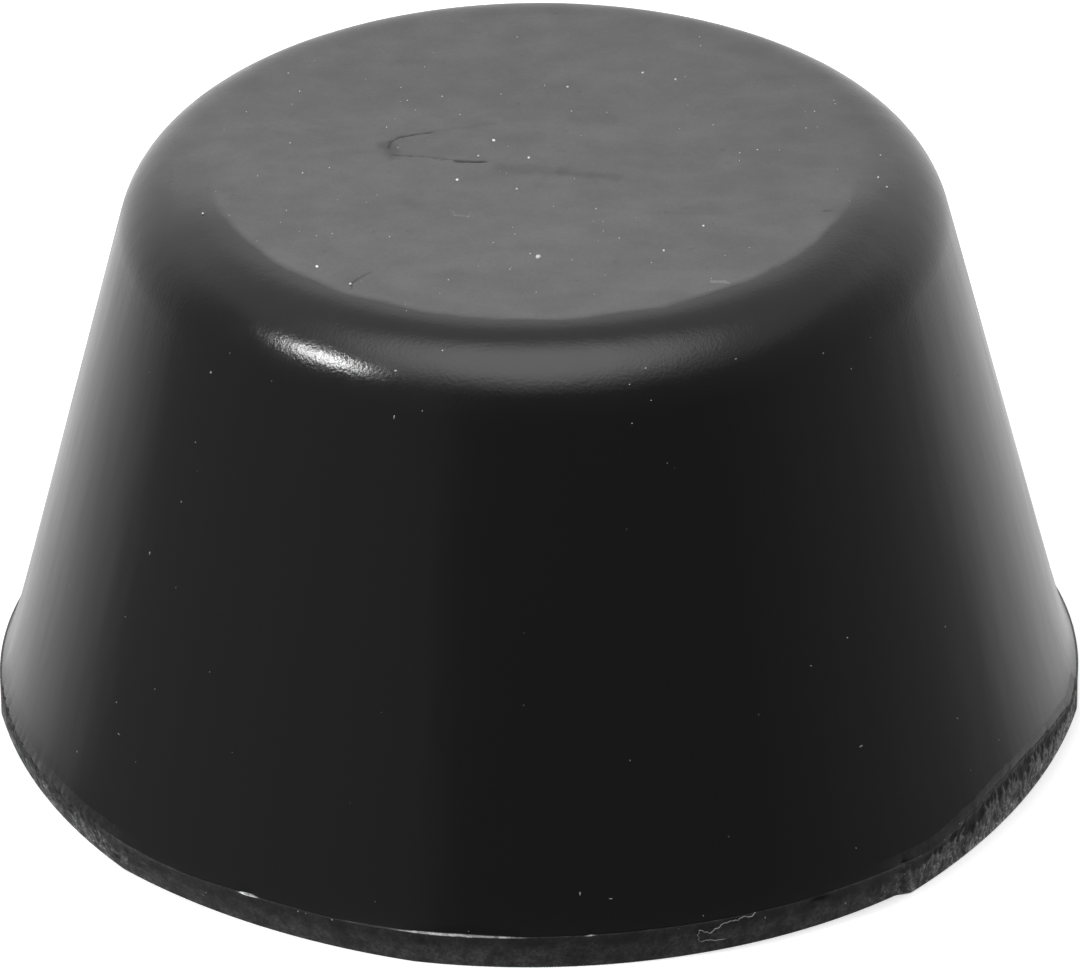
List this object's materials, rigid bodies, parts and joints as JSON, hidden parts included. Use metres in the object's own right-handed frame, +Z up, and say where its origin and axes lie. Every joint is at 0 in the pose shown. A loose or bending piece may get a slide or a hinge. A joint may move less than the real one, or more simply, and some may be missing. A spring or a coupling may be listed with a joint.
{
  "type": "lift pad",
  "caption": "Tapered round rubber pad with a flat top, a rounded crown and a hand-trimmed land round its base, to stand under or lift a load.",
  "frame": {"origin": "centre of the base, on the surface that the pad stands on", "axes": "+Z up through the flat top, along the axis of the taper; -Y towards the trimmed front of the base land"},
  "size_m": [0.0634, 0.0632, 0.035],
  "materials": {
    "moulded_rubber": "semi-gloss moulded side and crown, matte flat top, rough knife-trimmed base land"
  },
  "bodies": {
    "root": {"lift_pad": "moulded_rubber"}
  },
  "joints": []
}
